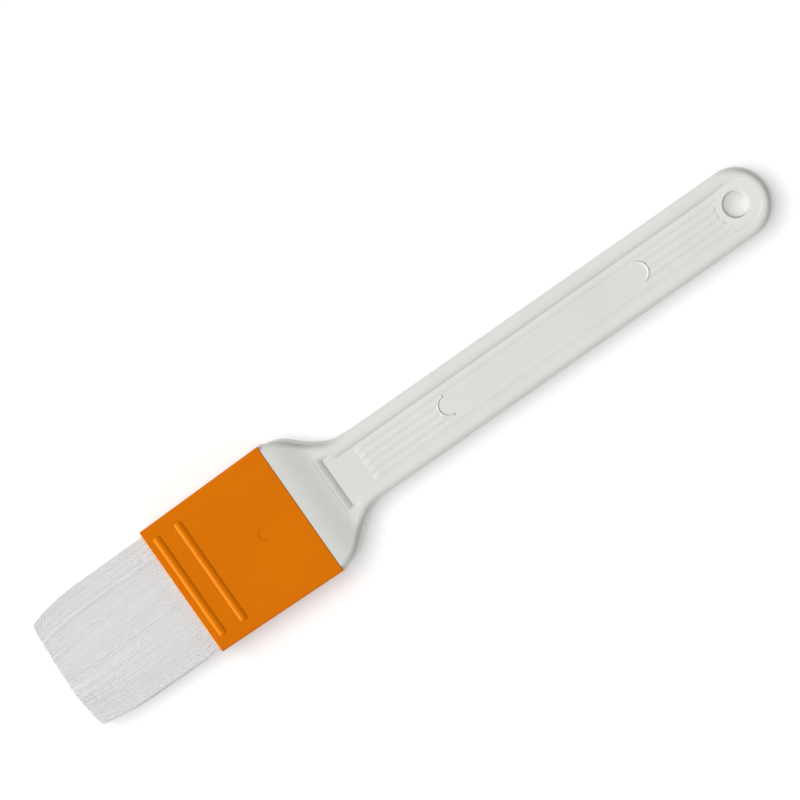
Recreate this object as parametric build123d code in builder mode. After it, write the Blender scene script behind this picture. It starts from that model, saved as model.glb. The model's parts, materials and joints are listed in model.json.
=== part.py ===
from build123d import *
import os

os.makedirs("parts", exist_ok=True)

# Flat pastry brush lying on a table, in millimetres.
# +X runs from the bristle tips to the hanging hole, +Y across the width, +Z up.
# The origin is under the middle of the brush, at the height of its lowest point.
# Sizes given as pairs are a width along Y and a thickness along Z.

# Overall
LENGTH = 252.2
TIP_X = -LENGTH / 2
END_X = LENGTH / 2

# Ferrule, a sleeve that tapers to its mouth
FERRULE_LENGTH = 43.1
FERRULE_MOUTH_SIZE = (42.5, 12.0)
FERRULE_END_SIZE = (44.1, 13.2)
FERRULE_WALL = 1.2
FERRULE_CORNER_R = 0.7
FERRULE_EDGE_R = 0.25
BEADS_FROM_MOUTH = (3.4, 10.95)
BEAD_LENGTH = 35.5
BEAD_WIDTH = 2.6
BEAD_HEIGHT = 0.35
GATE_FROM_MOUTH = 30.4
GATE_R = 2.1
GATE_DEPTH = 0.12

# Bristles, in an upper and a lower row
FREE_BRISTLE_LENGTH = 43.7
PACK_WIDTH = 40.0
PACK_THICKNESS = 9.4
TIP_THICKNESS = 7.6
ROOT_DEPTH = 22.0

# Where the free length bends: a round nose in a hollow seat
FLEX_FROM_MOUTH = 5.0
FLEX_R = PACK_THICKNESS / 2
FLEX_GAP = 0.3
SEAT_HORN = 2.3

# Spacer strip between the rows, and the resin that holds their butts
SPACER_LENGTH = 22.0
SPACER_SIZE = (36.0, 1.8)
SPACER_FROM_MOUTH = 3.0
RESIN_FROM_MOUTH = 18.0
RESIN_LENGTH = 10.5
INNER_CLEARANCE = 0.1

# Handle
TONGUE_LENGTH = 14.0
KEY_GROOVES_FROM_TONGUE_END = (3.5, 7.5)
KEY_GROOVE_WIDTH = 1.6
KEY_GROOVE_DEPTH = 0.6
HANDLE_WIDTH = 21.5
HANDLE_THICKNESS = 9.5
HANDLE_DRAFT = 0.5
HANDLE_EDGE_R = 2.0
# Shoulder and neck: distance from the ferrule, half-width, and how far the sides lean in
SHOULDER_OUTLINE = [(0, 21.9, 0.1), (6.6, 19.8, 0.9), (11.3, 15.7, 1.5), (15.5, 12.75, 1.2),
                    (27.0, HANDLE_WIDTH / 2, HANDLE_DRAFT)]
# The shoulder's faces: distance from the ferrule and height over the middle of the thickness
SHOULDER_H = 6.45
SHOULDER_DROP = [(0, SHOULDER_H), (4.4, 5.98), (8.4, 5.13), (11.8, HANDLE_THICKNESS / 2)]

# Panel sunk in each face of the handle: distance from the ferrule and half-width
PANEL_DEPTH = 0.7
PANEL_TOP = [(10.5, 8.2), (11.8, 9.5), (15.5, 8.5), (21.4, 7.65)]
PANEL_FOOT = [(13.1, 7.4), (13.7, 8.0), (17.0, 6.7), (21.4, 6.05)]
# Round the hanging hole its floor rises to the handle's face
PANEL_RISE_FROM_HOLE = -6.8
PANEL_END_FROM_HOLE = 7.65
# Depths of the sections that round its edge, as shares of the whole
PANEL_SECTIONS = (1.0, 0.65, 0.35, 0.1, 0.0)

# Lengthwise ridges in the panel, and the plain medallion that interrupts the inner ones
RIDGE_FROM_FERRULE = 22.5
RIDGE_RAMP = 2.0
RIDGE_STEPS = (-2, -1, 0, 1, 2)
RIDGE_PITCH = 2.37
RIDGE_WIDTH = 2.0
RIDGE_HEIGHT = 0.18
RIDGE_END_R = 6.3
MEDALLION_FROM_FERRULE = 49.1
MEDALLION_LENGTH = 74.5
MEDALLION_HALF_WIDTH = 3.55
MEDALLION_BEAD_WIDTH = 0.8
MEDALLION_BEAD_HEIGHT = 0.25

# Hanging hole, which narrows from both faces to a straight stretch
HOLE_R = 3.7
HOLE_MOUTH_R = 4.1
HOLE_MOUTH_DEPTH = 1.6

RIM_H = HANDLE_THICKNESS / 2
FLOOR_H = RIM_H - PANEL_DEPTH
HALF_PACK = PACK_WIDTH / 2

MOUTH_X = TIP_X + FREE_BRISTLE_LENGTH
FLEX_X = MOUTH_X - FLEX_FROM_MOUTH
FERRULE_END_X = MOUTH_X + FERRULE_LENGTH
TONGUE_X = FERRULE_END_X - TONGUE_LENGTH
HOLE_X = END_X - HANDLE_WIDTH / 2

# Wider than any piece, for cuts that run right across
ACROSS = FERRULE_END_SIZE[0]


def cap_radius(width, height):
    """Radius of the circle whose cap has this width and height."""
    return (width * width / 4 + height * height) / (2 * height)


def ferrule_outside(from_mouth):
    """Width and thickness of the ferrule this far in from its mouth."""
    share = from_mouth / FERRULE_LENGTH
    return [mouth + (end - mouth) * share for mouth, end in zip(FERRULE_MOUTH_SIZE, FERRULE_END_SIZE)]


def ferrule_inside(from_mouth, clearance=0.0):
    """Width and thickness that fit inside the ferrule with this clearance all round."""
    return [size - 2 * (FERRULE_WALL + clearance) for size in ferrule_outside(from_mouth)]


def cross_plane(x):
    """Plane across the brush: its own x is the brush's +Y, its own y is the brush's +Z."""
    return Plane(origin=(x, 0, MID_Z), x_dir=(0, 1, 0), z_dir=(1, 0, 0))


def from_ferrule(points):
    """Outline points with their distance from the ferrule turned into X."""
    return [(FERRULE_END_X + distance, half_width) for distance, half_width in points]


# The ferrule's end is the thickest place and touches the table
MID_Z = FERRULE_END_SIZE[1] / 2
MID_PLANE = Plane.XY.offset(MID_Z)
SIDE_PLANE = Plane(origin=(0, 0, MID_Z), x_dir=(1, 0, 0), z_dir=(0, -1, 0))

# ---- Ferrule: tapered sleeve with two cross beads on each broad face ----
bead_r = cap_radius(BEAD_WIDTH, BEAD_HEIGHT)
bead_straight = BEAD_LENGTH - BEAD_WIDTH

with BuildPart() as ferrule:
    for from_mouth in (0, FERRULE_LENGTH):
        with BuildSketch(cross_plane(MOUTH_X + from_mouth)):
            Rectangle(*ferrule_outside(from_mouth))
    loft()
    corners = ferrule.edges().filter_by(lambda edge: abs(edge.tangent_at(0.5).X) > 0.9)
    fillet(corners, radius=FERRULE_CORNER_R)
    fillet(ferrule.faces().filter_by(Axis.X).edges(), radius=FERRULE_EDGE_R)
    for from_mouth in BEADS_FROM_MOUTH:
        bead_h = ferrule_outside(from_mouth)[1] / 2 + BEAD_HEIGHT - bead_r
        for side in (1, -1):
            bead_z = MID_Z + side * bead_h
            with Locations((MOUTH_X + from_mouth, 0, bead_z)):
                Cylinder(radius=bead_r, height=bead_straight, rotation=(90, 0, 0))
            with Locations(*[(MOUTH_X + from_mouth, end * bead_straight / 2, bead_z) for end in (1, -1)]):
                Sphere(radius=bead_r)
    for from_mouth in (0, FERRULE_LENGTH):
        with BuildSketch(cross_plane(MOUTH_X + from_mouth)):
            Rectangle(*ferrule_inside(from_mouth))
    loft(mode=Mode.SUBTRACT)
    # Shallow round mark of the moulding gate
    with Locations((MOUTH_X + GATE_FROM_MOUTH, 0, MID_Z + ferrule_outside(GATE_FROM_MOUTH)[1] / 2)):
        Cylinder(radius=GATE_R, height=2 * GATE_DEPTH, mode=Mode.SUBTRACT)
ferrule.part.label = "ferrule"
export_step(ferrule.part, "parts/ferrule.step")

# ---- Spacer strip: parts the two rows inside the ferrule, its nose rounded towards the mouth ----
with BuildPart() as spacer_strip:
    with BuildSketch(SIDE_PLANE):
        with Locations((MOUTH_X + SPACER_FROM_MOUTH, 0)):
            Rectangle(SPACER_LENGTH, SPACER_SIZE[1], align=(Align.MIN, Align.CENTER))
    extrude(amount=SPACER_SIZE[0] / 2, both=True)
    nose = spacer_strip.faces().sort_by(Axis.X)[0]
    fillet(nose.edges().filter_by(Axis.Y), radius=SPACER_SIZE[1] * 0.4)
spacer_strip.part.label = "spacer_strip"
export_step(spacer_strip.part, "parts/spacer_strip.step")

# ---- Bristles: each row has a rooted length and a free length, parted at the mid-plane ----
# The free length's edges curve in towards the tip, and the trim of the tip is slightly slanted.
plus_side_end = (TIP_X + 18, HALF_PACK - 0.2)
minus_side_end = (TIP_X + 18, -HALF_PACK)
plus_corner = (TIP_X + 1.0, 16.8)
minus_corner = (TIP_X + 1.2, -18.3)

for row, keep in (("upper", Keep.TOP), ("lower", Keep.BOTTOM)):
    with BuildPart() as bristle_roots:
        with BuildSketch(SIDE_PLANE):
            with Locations((MOUTH_X + ROOT_DEPTH, 0)):
                Rectangle(FLEX_FROM_MOUTH + ROOT_DEPTH - SEAT_HORN, PACK_THICKNESS,
                          align=(Align.MAX, Align.CENTER))
            with Locations((FLEX_X, 0)):
                Circle(FLEX_R + FLEX_GAP, mode=Mode.SUBTRACT)
        extrude(amount=HALF_PACK, both=True)
        add(spacer_strip.part, mode=Mode.SUBTRACT)
        split(bisect_by=MID_PLANE, keep=keep)
    bristle_roots.part.label = f"{row}_bristle_roots"
    export_step(bristle_roots.part, f"parts/{row}_bristle_roots.step")

    with BuildPart() as bristles:
        with BuildSketch(MID_PLANE):
            with BuildLine():
                Polyline(minus_side_end, (FLEX_X + FLEX_R, -HALF_PACK),
                         (FLEX_X + FLEX_R, HALF_PACK), plus_side_end)
                Spline(plus_side_end, (TIP_X + 7.5, 18.8), plus_corner, tangents=((-1, 0), (-1, -0.45)))
                Spline(plus_corner, (TIP_X + 0.4, 4), (TIP_X, -8), minus_corner,
                       tangents=((-0.1, -1), (0.3, -1)))
                Spline(minus_corner, (TIP_X + 8.5, -19.3), minus_side_end, tangents=((1, -0.25), (1, 0)))
            make_face()
        extrude(amount=PACK_THICKNESS, both=True)
        with BuildSketch(SIDE_PLANE):
            with BuildLine():
                ThreePointArc((FLEX_X, -FLEX_R), (FLEX_X + FLEX_R, 0), (FLEX_X, FLEX_R))
                Polyline((FLEX_X, FLEX_R), (TIP_X, TIP_THICKNESS / 2), (TIP_X, -TIP_THICKNESS / 2),
                         (FLEX_X, -FLEX_R))
            make_face()
        extrude(amount=ACROSS, both=True, mode=Mode.INTERSECT)
        split(bisect_by=MID_PLANE, keep=keep)
    bristles.part.label = f"{row}_bristles"
    export_step(bristles.part, f"parts/{row}_bristles.step")

# ---- Resin set: fills the ferrule between the butts of the bristles and the tongue ----
with BuildPart() as resin_set:
    for from_mouth in (RESIN_FROM_MOUTH, RESIN_FROM_MOUTH + RESIN_LENGTH):
        with BuildSketch(cross_plane(MOUTH_X + from_mouth)):
            Rectangle(*ferrule_inside(from_mouth, INNER_CLEARANCE))
    loft()
    with BuildSketch(SIDE_PLANE):
        with Locations((MOUTH_X + ROOT_DEPTH, 0)):
            Rectangle(ROOT_DEPTH, PACK_THICKNESS, align=(Align.MAX, Align.CENTER))
    extrude(amount=HALF_PACK, both=True, mode=Mode.SUBTRACT)
    add(spacer_strip.part, mode=Mode.SUBTRACT)
resin_set.part.label = "resin_set"
export_step(resin_set.part, "parts/resin_set.step")

# ---- Panel: shallow trough that runs on round the hole, its edge rounded over ----
with BuildPart() as panel:
    for depth in PANEL_SECTIONS:
        inset = depth ** 0.5
        outline = [(top[0] + (foot[0] - top[0]) * inset, top[1] + (foot[1] - top[1]) * inset)
                   for top, foot in zip(from_ferrule(PANEL_TOP), from_ferrule(PANEL_FOOT))]
        half_width = outline[-1][1]
        with BuildSketch(MID_PLANE.offset(RIM_H - PANEL_DEPTH * depth)):
            with BuildLine():
                Spline(*outline, tangents=((0, 1), (1, 0)))
                Line(outline[-1], (HOLE_X, half_width))
                EllipticalCenterArc((HOLE_X, 0), PANEL_END_FROM_HOLE, half_width, arc_size=90)
                mirror(about=Plane.XZ)
                Line(outline[0], (outline[0][0], -outline[0][1]))
            make_face()
    loft(ruled=True)
    extrude(panel.faces().sort_by(Axis.Z)[-1], amount=PANEL_DEPTH)
    with BuildSketch(SIDE_PLANE):
        Polygon((HOLE_X + PANEL_RISE_FROM_HOLE, FLOOR_H), (HOLE_X + PANEL_END_FROM_HOLE, FLOOR_H),
                (HOLE_X + PANEL_END_FROM_HOLE, RIM_H), align=None)
    extrude(amount=HANDLE_WIDTH, both=True, mode=Mode.SUBTRACT)
    mirror(about=MID_PLANE)

# ---- Ridges: long round bars half sunk in the panel's floor, on both faces ----
ridge_r = cap_radius(RIDGE_WIDTH, RIDGE_HEIGHT)
ridge_h = FLOOR_H + RIDGE_HEIGHT - ridge_r
ridge_x = FERRULE_END_X + RIDGE_FROM_FERRULE
medallion_bead_r = cap_radius(MEDALLION_BEAD_WIDTH, MEDALLION_BEAD_HEIGHT)
medallion_bead_h = FLOOR_H + MEDALLION_BEAD_HEIGHT - medallion_bead_r
medallion_middle = FERRULE_END_X + MEDALLION_FROM_FERRULE + MEDALLION_LENGTH / 2

with BuildPart() as ridges:
    with BuildSketch(cross_plane(ridge_x)):
        with Locations(*[(step * RIDGE_PITCH, ridge_h) for step in RIDGE_STEPS]):
            Circle(ridge_r)
    extrude(amount=HOLE_X - ridge_x)
    with BuildSketch(SIDE_PLANE):
        Polygon((ridge_x, FLOOR_H), (ridge_x + RIDGE_RAMP, FLOOR_H + RIDGE_HEIGHT), (ridge_x, RIM_H),
                align=None)
    extrude(amount=HANDLE_WIDTH, both=True, mode=Mode.SUBTRACT)
    with BuildSketch(MID_PLANE):
        with Locations((medallion_middle, 0)):
            SlotOverall(MEDALLION_LENGTH, 2 * MEDALLION_HALF_WIDTH)
    extrude(amount=HANDLE_THICKNESS, mode=Mode.SUBTRACT)
    with Locations((HOLE_X, 0, MID_Z)):
        Cylinder(radius=RIDGE_END_R, height=2 * HANDLE_THICKNESS, mode=Mode.SUBTRACT)
    # A small bead rounds each end of the medallion
    for side in (1, -1):
        arc_x = medallion_middle - side * (MEDALLION_LENGTH / 2 - MEDALLION_HALF_WIDTH)
        with BuildSketch(Plane(origin=(arc_x, 0, MID_Z), x_dir=(0, side, 0), z_dir=(side, 0, 0))):
            with Locations((MEDALLION_HALF_WIDTH - MEDALLION_BEAD_WIDTH / 2, medallion_bead_h)):
                Circle(medallion_bead_r)
        revolve(axis=Axis((arc_x, 0, 0), (0, 0, 1)), revolution_arc=180)
    mirror(about=MID_PLANE)

# ---- Handle: shoulder, neck and grip in one moulding, with a tongue for the ferrule ----
shoulder_drop = from_ferrule(SHOULDER_DROP)
# The narrowing starts at the face's mean height round the hole
hole_mouth_h = FLOOR_H - PANEL_DEPTH * PANEL_RISE_FROM_HOLE / (PANEL_END_FROM_HOLE - PANEL_RISE_FROM_HOLE)

with BuildPart() as handle:
    # The sides lean in both ways from the mid-plane
    for height, lean in ((0, 0), (SHOULDER_H, 1)):
        side_line = [(FERRULE_END_X + distance, half_width - inset * lean)
                     for distance, half_width, inset in SHOULDER_OUTLINE]
        half_width = HANDLE_WIDTH / 2 - HANDLE_DRAFT * lean
        with BuildSketch(MID_PLANE.offset(height)):
            with BuildLine():
                Spline(*side_line, tangents=((1, -0.2), (1, 0)))
                Line(side_line[-1], (HOLE_X, half_width))
                CenterArc((HOLE_X, 0), half_width, start_angle=0, arc_size=90)
                mirror(about=Plane.XZ)
                Line(side_line[0], (FERRULE_END_X, -side_line[0][1]))
            make_face()
    loft(ruled=True)
    mirror(about=MID_PLANE)
    with BuildSketch(SIDE_PLANE):
        with BuildLine():
            Spline(*shoulder_drop, tangents=((1, -0.07), (1, 0)))
            Line(shoulder_drop[-1], (END_X, RIM_H))
            mirror(about=Plane.XZ)
            Line((FERRULE_END_X, SHOULDER_H), (FERRULE_END_X, -SHOULDER_H))
            Line((END_X, RIM_H), (END_X, -RIM_H))
        make_face()
    extrude(amount=ACROSS, both=True, mode=Mode.INTERSECT)
    rim = [edge for edge in handle.edges()
           if abs(edge.center().Z - MID_Z) > RIM_H / 2 and edge.center().X > FERRULE_END_X + 0.1
           and (abs(edge.center().Y) > 0.3 * HANDLE_WIDTH or edge.center().X > HOLE_X)]
    fillet(rim, radius=HANDLE_EDGE_R)
    add(panel.part, mode=Mode.SUBTRACT)
    add(ridges.part)
    # Tongue with key grooves on each face for the resin
    for x in (TONGUE_X, FERRULE_END_X):
        with BuildSketch(cross_plane(x)):
            Rectangle(*ferrule_inside(x - MOUTH_X, INNER_CLEARANCE))
    loft()
    tongue_h = ferrule_inside(TONGUE_X - MOUTH_X)[1] / 2
    with BuildSketch(SIDE_PLANE):
        with Locations(*[(TONGUE_X + from_end, side * tongue_h)
                         for from_end in KEY_GROOVES_FROM_TONGUE_END for side in (1, -1)]):
            Rectangle(KEY_GROOVE_WIDTH, 2 * KEY_GROOVE_DEPTH)
    extrude(amount=ACROSS, both=True, mode=Mode.SUBTRACT)
    with BuildSketch(SIDE_PLANE):
        with BuildLine():
            Polyline((HOLE_X, RIM_H), (HOLE_X + HOLE_MOUTH_R, RIM_H), (HOLE_X + HOLE_MOUTH_R, hole_mouth_h),
                     (HOLE_X + HOLE_R, hole_mouth_h - HOLE_MOUTH_DEPTH), (HOLE_X + HOLE_R, 0))
            mirror(about=Plane.XZ)
            Line((HOLE_X, RIM_H), (HOLE_X, -RIM_H))
        make_face()
    revolve(axis=Axis((HOLE_X, 0, 0), (0, 0, 1)), mode=Mode.SUBTRACT)
handle.part.label = "handle"
export_step(handle.part, "parts/handle.step")
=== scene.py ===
import json
import math

import bpy
import numpy as np
from mathutils import Matrix, Vector


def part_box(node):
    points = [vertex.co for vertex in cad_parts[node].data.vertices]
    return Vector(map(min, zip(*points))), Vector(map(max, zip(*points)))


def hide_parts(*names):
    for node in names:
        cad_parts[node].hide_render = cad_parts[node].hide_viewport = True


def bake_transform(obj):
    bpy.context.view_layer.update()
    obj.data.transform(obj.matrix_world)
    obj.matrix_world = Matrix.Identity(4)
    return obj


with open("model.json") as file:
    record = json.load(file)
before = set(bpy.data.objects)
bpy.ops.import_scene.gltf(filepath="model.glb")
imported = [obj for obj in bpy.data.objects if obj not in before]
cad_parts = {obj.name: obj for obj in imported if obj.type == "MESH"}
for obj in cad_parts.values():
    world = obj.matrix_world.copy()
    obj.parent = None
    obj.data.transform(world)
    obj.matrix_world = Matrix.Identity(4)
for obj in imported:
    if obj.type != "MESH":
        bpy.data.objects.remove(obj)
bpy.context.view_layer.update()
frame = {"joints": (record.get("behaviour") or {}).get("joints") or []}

MM = 0.001

# ---- Places taken from the frame ----
FERRULE_LO, FERRULE_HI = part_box("ferrule")
HANDLE_LO, HANDLE_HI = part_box("handle")
SPACER_LO, SPACER_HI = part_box("spacer_strip")
FLEX_JOINT = next(joint for joint in frame["joints"] if joint["name"] == "bristle_flex")
HINGE = Vector(FLEX_JOINT["pos_m"])
MID_Z = HINGE.z
MOUTH_X = FERRULE_LO.x
FREE_LENGTH = MOUTH_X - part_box("upper_bristles")[0].x

# ---- Camera: far off and nearly overhead, leaning a little towards the handle's end, and turned
# so that the brush rises to the right ----
CAMERA_ROLL = math.radians(-35.0)
CAMERA_LEAN = math.radians(6.5)
IMAGE_WIDTH = 0.2329
LENS = 300.0
SENSOR = 36.0
AIM = Vector((0.0026, 0.0093, 0.010))

# ---- Studio: a soft key light from beyond the bristles, a pale room, and a white floor with its
# own soft light from overhead. A light's numbers are its turn from -X towards +Y, its rise, its
# spread, and its share of the light on a level surface ----
KEY = (10, 38, 34, 0.72)
FLOOR_KEY = (45, 73, 45, 0.75)
ROOM_SHARE = 0.36
FLOOR_SIZE = 6.0
FLOOR_WHITE = 0.65
FLOOR_ROUGHNESS = 0.9
FLOOR_GLOW = 0.31
# The ferrule's end stands on the floor, and it reaches this far below the middle of the brush
FERRULE_END_HALF_DEPTH = 6.6 * MM

# ---- Moulded plastic: clouds and flow marks mix its tones, and skin, waves and scratches its
# surface. A scale is a number of features a metre ----
CLOUD_SCALE = 38.0
FLOW_SCALE = 420.0
FLOW_STRETCH = (0.12, 1, 1)
CLOUD_SHARE = 0.65
CLOUD_SHIFT = 0.3
FLOW_SHIFT = 0.7
TONE_RANGE = (0.35, 0.65)
SKIN_SCALE = 2600.0
SKIN_DEPTH = 0.012 * MM
WAVE_SCALE = 160.0
WAVE_STRETCH = (0.5, 1, 1)
WAVE_DEPTH = 0.05 * MM
# Two sets of scratches: scale, turn in radians, and the noise at which one starts and is full
SCRATCHES = ((700.0, 0.5, 0.69, 0.74), (600.0, -0.9, 0.70, 0.75))
SCRATCH_STRETCH = (0.03, 1, 1)
SCRATCH_DEPTH = 0.004 * MM
SCRATCH_ROUGHNESS = 0.12
ROUGHNESS_RANGE = (0.3, 0.7)
SCATTER_RADIUS = (1.0, 0.95, 0.85)
SCATTER_SCALE = 1.2 * MM

# ---- Bristles ----
FILAMENTS_ACROSS = 130
FILAMENTS_DEEP = 15
FILAMENT_R = 0.172 * MM
FILAMENT_SIDES = 4
# Random places of the filaments, in spacings across and through the pack
JITTER_ACROSS = 0.2
JITTER_DEEP = 0.15
# Distances from the ferrule's mouth at which a filament has a ring. One more ring just before its
# blunt cut end keeps the shading of its sides straight
RING_AT = np.array([-19.0, -3.8, 0.0, 4.0, 8.0, 12.0, 16.0, 20.0, 25.0, 31.0, 37.5]) * MM
END_RING = 0.12 * MM
# Half-width of the pack on each side at these distances from the tip, and how far the slanted
# trim falls short of the tip at these places across
PLUS_SIDE = ([1.0, 4.0, 7.5, 13.0, 18.0, 43.0], [16.8, 17.9, 18.75, 19.5, 19.8, 20.0])
MINUS_SIDE = ([1.2, 4.0, 8.5, 13.0, 18.0, 39.7, 43.7], [18.8, 19.4, 20.1, 20.6, 20.8, 20.8, 20.0])
TRIM = ([-20.0, -18.3, -8.0, 4.0, 16.8, 20.0], [1.9, 1.2, 0.0, 0.4, 1.0, 1.6])
# The pack's half-width at the mouth, how far its -Y edge spreads outside it, and its half-depths
PACK_HALF_WIDTH = 20.0 * MM
PACK_REACH = 20.8 * MM
PACK_HALF_DEPTH = 4.7 * MM
TIP_HALF_DEPTH = 3.8 * MM
FLEX_FROM_MOUTH = MOUTH_X - HINGE.x
# A filament is cut up to this much short, and most of them by less
CUT_SPREAD = 0.35 * MM
CUT_POWER = 1.5
# Wander of each filament, of clumps of them, and the clumps' waves across the pack
STRAY = 0.02 * MM
STRAY_DEEP = 0.7
CLUMP = 0.025 * MM
CLUMP_WAVES_ACROSS = (9, 23, 41, 67)
CLUMP_WAVES_DEEP = (7, 19, 37)
# How far in from the edge the filaments start to lie lower, on the +Y side and the -Y side
PLUS_ROUND = 1.2 * MM
MINUS_ROUND = 3.0 * MM
# Seeds of each row's random numbers
ROW_SEEDS = {"upper": 11, "lower": 12}
# Nylon from the mouth to the tip, its pinkish tone at the mouth a painted reflection of the orange
# ferrule, and how much of its tone is each filament's own
NYLON_WITH_PAINTED_ORANGE_BOUNCE = ((0.972, 0.944, 0.930), (0.970, 0.970, 0.944), (0.996, 0.996, 0.986))
OWN_TONE = 0.15
NYLON_ROUGHNESS = (0.28, 0.42)
NYLON_SCATTER = 0.9
NYLON_SCATTER_SCALE = 1.0 * MM
# Painted light: an even glow from the bristles, which stands for the light that many clear
# filaments pass on to each other
BRISTLE_PAINTED_GLOW = 0.04


def link(thing):
    """Puts an object in the scene."""
    bpy.context.scene.collection.objects.link(thing)
    return thing


def make_camera():
    """The camera of the main view."""
    data = bpy.data.cameras.new("camera")
    data.lens = LENS
    data.sensor_width = SENSOR
    camera = link(bpy.data.objects.new("camera", data))
    turn = Matrix.Rotation(CAMERA_LEAN, 3, "Y") @ Matrix.Rotation(CAMERA_ROLL, 3, "Z")
    camera.rotation_euler = turn.to_euler()
    camera.location = AIM + turn @ Vector((0, 0, IMAGE_WIDTH * LENS / SENSOR))
    bpy.context.scene.camera = camera


def make_room():
    """A pale room all round, and colours shown as they are."""
    scene = bpy.context.scene
    scene.view_settings.view_transform = "Standard"
    scene.world = bpy.data.worlds.new("room")
    scene.world.use_nodes = True
    background = scene.world.node_tree.nodes["Background"]
    background.inputs["Color"].default_value = (1, 1, 1, 1)
    background.inputs["Strength"].default_value = ROOM_SHARE


def soft_sun(name, turn, rise, spread, share, floor, state):
    """A soft sun that lights only the floor (state INCLUDE) or all but the floor (EXCLUDE)."""
    turn, rise = math.radians(turn), math.radians(rise)
    towards = Vector((-math.cos(turn), math.sin(turn), 0)) * math.cos(rise)
    towards.z = math.sin(rise)
    data = bpy.data.lights.new(name, "SUN")
    data.angle = math.radians(spread)
    data.energy = share * math.pi / math.sin(rise)
    sun = link(bpy.data.objects.new(name, data))
    sun.rotation_mode = "QUATERNION"
    sun.rotation_quaternion = (-towards).to_track_quat("-Z", "Y")
    receivers = bpy.data.collections.new(f"{name}_receivers")
    receivers.objects.link(floor)
    receivers.collection_objects[0].light_linking.link_state = state
    sun.light_linking.receiver_collection = receivers


def make_floor():
    """The floor that the ferrule's end and the handle's end rest on."""
    rest_x, rest_z = FERRULE_HI.x, MID_Z - FERRULE_END_HALF_DEPTH
    slope = (HANDLE_LO.z - rest_z) / (HANDLE_HI.x - rest_x)
    half = FLOOR_SIZE / 2
    sides = ((-half, -half), (half, -half), (half, half), (-half, half))
    corners = [(x, y, rest_z + (x - rest_x) * slope) for x, y in sides]
    mesh = bpy.data.meshes.new("floor")
    mesh.from_pydata(corners, [], [(0, 1, 2, 3)])
    floor = link(bpy.data.objects.new("floor", mesh))
    paint = Material("floor_paint")
    paint.shader.inputs["Base Color"].default_value = (FLOOR_WHITE, FLOOR_WHITE, FLOOR_WHITE, 1)
    paint.shader.inputs["Roughness"].default_value = FLOOR_ROUGHNESS
    paint.shader.inputs["Specular IOR Level"].default_value = 0.0
    paint.shader.inputs["Emission Color"].default_value = (1, 1, 1, 1)
    paint.shader.inputs["Emission Strength"].default_value = FLOOR_GLOW
    mesh.materials.append(paint.data)
    return floor


class Material:
    """A Principled material, with short ways to add nodes to it."""

    def __init__(self, name):
        self.data = bpy.data.materials.new(name)
        self.data.use_nodes = True
        self.tree = self.data.node_tree
        self.shader = self.tree.nodes["Principled BSDF"]

    def add(self, kind, inputs, **settings):
        """A new node, with its settings, and its inputs set to values or joined to sockets."""
        node = self.tree.nodes.new("ShaderNode" + kind)
        for name, value in settings.items():
            setattr(node, name, value)
        for name, value in inputs.items():
            self.put(node.inputs[name], value)
        return node

    def put(self, socket, value):
        """Joins a socket to value, or sets it to value."""
        if isinstance(value, bpy.types.NodeSocket):
            self.tree.links.new(value, socket)
        else:
            socket.default_value = value

    def noise(self, scale, detail=2.0, stretch=(1, 1, 1), turn=0.0, shift=0.0):
        """Noise over the piece at this scale, drawn out along an axis whose stretch is under 1."""
        place = self.add("TexCoord", {}).outputs["Object"]
        place = self.add("Mapping", {"Vector": place, "Rotation": (0, 0, turn), "Scale": stretch,
                                     "Location": (shift, shift, shift)}).outputs["Vector"]
        noise = self.add("TexNoise", {"Vector": place, "Scale": scale, "Detail": detail})
        return noise.outputs["Fac"]

    def attribute(self, name):
        """A number that the mesh carries at each point."""
        return self.add("Attribute", {}, attribute_name=name).outputs["Fac"]

    def span(self, value, low, high, to_low=0.0, to_high=1.0):
        """value's range from low to high, spread from to_low to to_high."""
        return self.add("MapRange", {"Value": value, "From Min": low, "From Max": high,
                                     "To Min": to_low, "To Max": to_high}).outputs["Result"]

    def math(self, operation, a, b):
        """The sum, product or other result of a and b."""
        node = self.add("Math", {}, operation=operation)
        self.put(node.inputs[0], a)
        self.put(node.inputs[1], b)
        return node.outputs[0]

    def tones(self, value, *colours):
        """value as a colour between these, which are linear and evenly spaced."""
        node = self.add("ValToRGB", {"Fac": value})
        ramp = node.color_ramp
        while len(ramp.elements) < len(colours):
            ramp.elements.new(0.5)
        for i, colour in enumerate(colours):
            ramp.elements[i].position = i / (len(colours) - 1)
            ramp.elements[i].color = (*colour, 1)
        return node.outputs["Color"]

    def bump(self, height, depth, below=None):
        """A bump this deep in metres, on top of the bump below."""
        inputs = {"Height": height, "Distance": depth}
        if below is not None:
            inputs["Normal"] = below
        return self.add("Bump", inputs).outputs["Normal"]


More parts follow.
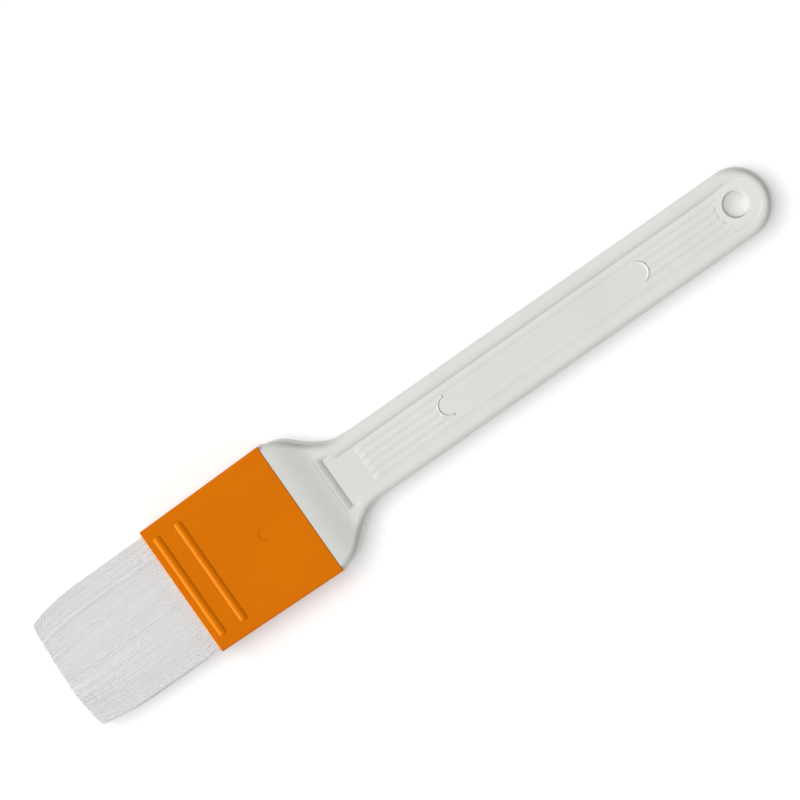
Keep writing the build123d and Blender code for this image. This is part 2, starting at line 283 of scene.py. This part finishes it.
def moulded_plastic(name, colours, roughness, skin_scale=SKIN_SCALE, scatter=0.0,
                    sheen_tint=(1.0, 1.0, 1.0)):
    """Moulded plastic: flow marks along the brush, a fine skin, and hairline scratches."""
    made = Material(name)
    shader = made.shader
    cloud = made.noise(CLOUD_SCALE, 3.0, shift=CLOUD_SHIFT)
    flow = made.noise(FLOW_SCALE, 3.0, stretch=FLOW_STRETCH, shift=FLOW_SHIFT)
    skin = made.noise(skin_scale, 2.0)
    scratch = made.math("MAXIMUM", *(
        made.span(made.noise(scale, 1.0, stretch=SCRATCH_STRETCH, turn=turn), start, full)
        for scale, turn, start, full in SCRATCHES))
    blend = made.math("ADD", made.math("MULTIPLY", cloud, CLOUD_SHARE),
                      made.math("MULTIPLY", flow, 1 - CLOUD_SHARE))
    made.put(shader.inputs["Base Color"], made.tones(made.span(blend, *TONE_RANGE), *colours))
    rough = made.math("ADD", made.math("MULTIPLY", skin, 0.5), made.math("MULTIPLY", cloud, 0.5))
    rough = made.span(rough, *ROUGHNESS_RANGE, *roughness)
    rough = made.math("ADD", rough, made.math("MULTIPLY", scratch, SCRATCH_ROUGHNESS))
    made.put(shader.inputs["Roughness"], rough)
    normal = made.bump(made.noise(WAVE_SCALE, 1.0, stretch=WAVE_STRETCH), WAVE_DEPTH)
    normal = made.bump(skin, SKIN_DEPTH, normal)
    normal = made.bump(made.math("SUBTRACT", 1.0, scratch), SCRATCH_DEPTH, normal)
    made.put(shader.inputs["Normal"], normal)
    shader.inputs["Specular Tint"].default_value = (*sheen_tint, 1)
    if scatter:
        shader.inputs["Subsurface Weight"].default_value = scatter
        shader.inputs["Subsurface Radius"].default_value = SCATTER_RADIUS
        shader.inputs["Subsurface Scale"].default_value = SCATTER_SCALE
    return made


def bristle_material():
    """Nylon filament: clear enough to pass light on, each filament slightly different, with a
    painted reflection of the orange ferrule near the mouth and a painted glow.
    """
    made = Material("bristle_nylon")
    shader = made.shader
    own = made.attribute("filament")
    along = made.attribute("along")
    tone = made.math("ADD", made.math("MULTIPLY", own, OWN_TONE),
                     made.math("MULTIPLY", along, 1 - OWN_TONE))
    # The pinkish tone near the mouth is a painted reflection of the orange ferrule
    made.put(shader.inputs["Base Color"], made.tones(tone, *NYLON_WITH_PAINTED_ORANGE_BOUNCE))
    made.put(shader.inputs["Roughness"], made.span(own, 0, 1, *NYLON_ROUGHNESS))
    shader.inputs["Subsurface Weight"].default_value = NYLON_SCATTER
    shader.inputs["Subsurface Radius"].default_value = (1.0, 1.0, 1.0)
    shader.inputs["Subsurface Scale"].default_value = NYLON_SCATTER_SCALE
    # The bristles glow with painted light
    shader.inputs["Emission Color"].default_value = (1.0, 1.0, 1.0, 1.0)
    shader.inputs["Emission Strength"].default_value = BRISTLE_PAINTED_GLOW
    return made


def smooth_noise(random, at, waves):
    """A smooth random curve between about -1 and 1, read at these places from -1 to 1."""
    total = np.zeros_like(at)
    for wave in waves:
        total += np.sin(at * wave + random.uniform(0, 2 * math.pi)) * random.uniform(0.5, 1.0)
    return total / len(waves)


def bristle_row(name, side, seed):
    """Filaments of one row, side 1 above the parting and -1 below it."""
    random = np.random.default_rng(seed)
    # Each filament's place across, from -1 to 1, and out from the parting, from 0 to 1
    across, deep = np.meshgrid((np.arange(FILAMENTS_ACROSS) + 0.5) / FILAMENTS_ACROSS * 2 - 1,
                               (np.arange(FILAMENTS_DEEP) + 0.5) / FILAMENTS_DEEP)
    stagger = (np.arange(FILAMENTS_DEEP) % 2 - 0.5)[:, None] * 0.5 / FILAMENTS_ACROSS
    across = (across + stagger).ravel()
    deep = deep.ravel()
    count = len(across)
    jitter = random.uniform(-JITTER_ACROSS, JITTER_ACROSS, count) / FILAMENTS_ACROSS
    across = np.clip(across + jitter, -1, 1)
    jitter = random.uniform(-JITTER_DEEP, JITTER_DEEP, count) / FILAMENTS_DEEP
    deep = np.clip(deep + jitter, 0, 1)

    short = np.interp(across * PACK_HALF_WIDTH / MM, *TRIM) * MM
    length = FREE_LENGTH - short - CUT_SPREAD * random.uniform(0, 1, count) ** CUT_POWER
    ends = np.stack([length - END_RING, length], axis=1)
    at = np.concatenate([np.broadcast_to(RING_AT, (count, len(RING_AT))), ends], axis=1)
    rings = at.shape[1]

    to_tip = (FREE_LENGTH - at) / MM
    half_width = np.where(across[:, None] > 0, np.interp(to_tip, *PLUS_SIDE),
                          np.interp(to_tip, *MINUS_SIDE))
    y = across[:, None] * (half_width * MM - FILAMENT_R)

    slope = np.clip((at - FLEX_FROM_MOUTH) / (FREE_LENGTH - FLEX_FROM_MOUTH), 0, 1)
    edge_round = np.where(y > 0, PLUS_ROUND, MINUS_ROUND)
    edge_at = np.where(y > 0, PACK_HALF_WIDTH, PACK_REACH)
    over_edge = np.clip(np.abs(y) - edge_at + edge_round, 0, edge_round)
    edge_drop = edge_round - np.sqrt(edge_round ** 2 - over_edge ** 2)
    outer = PACK_HALF_DEPTH + (TIP_HALF_DEPTH - PACK_HALF_DEPTH) * slope - edge_drop - FILAMENT_R
    in_ferrule = np.clip(-at / (SPACER_LO.x - MOUTH_X), 0, 1)
    inner = FILAMENT_R + in_ferrule * (SPACER_HI.z - MID_Z)
    z = inner + deep[:, None] * (outer - inner)

    free = np.clip(at / FREE_LENGTH, 0, 1) ** 2
    y = y + free * (STRAY * random.normal(0, 1, count)[:, None]
                    + CLUMP * smooth_noise(random, across, CLUMP_WAVES_ACROSS)[:, None])
    z = z + free * (STRAY * STRAY_DEEP * random.normal(0, 1, count)[:, None]
                    + CLUMP * smooth_noise(random, across, CLUMP_WAVES_DEEP)[:, None])
    y = np.clip(y, -PACK_REACH, PACK_REACH)
    z = np.clip(z, FILAMENT_R, PACK_HALF_DEPTH)

    centre = np.stack([MOUTH_X - at, y, MID_Z + side * z], axis=2)
    turn = (random.uniform(0, math.pi / 2, count)[:, None]
            + np.arange(FILAMENT_SIDES) * 2 * math.pi / FILAMENT_SIDES)
    circle = np.stack([np.zeros_like(turn), np.cos(turn), np.sin(turn)], axis=2)
    points = centre[:, :, None, :] + FILAMENT_R * circle[:, None, :, :]

    # Quads between each pair of rings, and a cap on each end
    first = np.arange(count)[:, None, None] * rings * FILAMENT_SIDES
    ring = np.arange(rings - 1)[None, :, None] * FILAMENT_SIDES
    corner = np.arange(FILAMENT_SIDES)[None, None, :]
    following = (corner + 1) % FILAMENT_SIDES
    near, far = first + ring, first + ring + FILAMENT_SIDES
    quads = np.stack([near + corner, far + corner, far + following, near + following], axis=3)
    start_cap = first[:, 0] + np.arange(FILAMENT_SIDES)[None, :]
    end_cap = first[:, 0] + (rings - 1) * FILAMENT_SIDES + np.arange(FILAMENT_SIDES)[None, ::-1]
    faces = np.concatenate([quads.reshape(-1, FILAMENT_SIDES), start_cap, end_cap])

    mesh = bpy.data.meshes.new(name)
    mesh.from_pydata(points.reshape(-1, 3).tolist(), [], faces.tolist())
    mesh.shade_smooth()
    per_filament = rings * FILAMENT_SIDES
    own = np.repeat(random.uniform(0, 1, count), per_filament)
    along = np.repeat(np.clip(at / FREE_LENGTH, 0, 1).ravel(), FILAMENT_SIDES)
    for key, values in (("filament", own), ("along", along)):
        held = mesh.attributes.new(key, "FLOAT", "POINT")
        held.data.foreach_set("value", values.astype(np.float32))
    return link(bpy.data.objects.new(name, mesh))


def make_bristles():
    """Both rows, which stand for the bristle field's plain solids, now hidden."""
    nylon = bristle_material()
    for name, side in (("upper", 1), ("lower", -1)):
        row = bristle_row(f"{name}_bristle_row", side, ROW_SEEDS[name])
        row.data.materials.append(nylon.data)
        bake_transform(row)
        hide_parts(f"{name}_bristle_roots", f"{name}_bristles")


def dress(node, material):
    """Gives a CAD node's object this material in all its slots."""
    piece = bpy.data.objects[node]
    for held in piece.material_slots:
        held.link = "OBJECT"
        held.material = material.data


make_camera()
make_room()
white_floor = make_floor()
soft_sun("key", *KEY, white_floor, "EXCLUDE")
soft_sun("floor_key", *FLOOR_KEY, white_floor, "INCLUDE")
make_bristles()
dress("handle", moulded_plastic("white_polypropylene",
                                [(0.659, 0.666, 0.629), (0.684, 0.691, 0.654)],
                                (0.34, 0.44), scatter=0.12))
dress("ferrule", moulded_plastic("orange_polypropylene",
                                 [(0.62, 0.146, 0.001), (0.644, 0.156, 0.001)],
                                 (0.32, 0.42), scatter=0.05, sheen_tint=(1.0, 0.45, 0.05)))
dress("spacer_strip", moulded_plastic("grey_polystyrene",
                                      [(0.40, 0.40, 0.38), (0.46, 0.46, 0.44)], (0.45, 0.6)))
dress("resin_set", moulded_plastic("amber_resin",
                                   [(0.40, 0.22, 0.07), (0.52, 0.30, 0.11)],
                                   (0.2, 0.35), skin_scale=900.0))
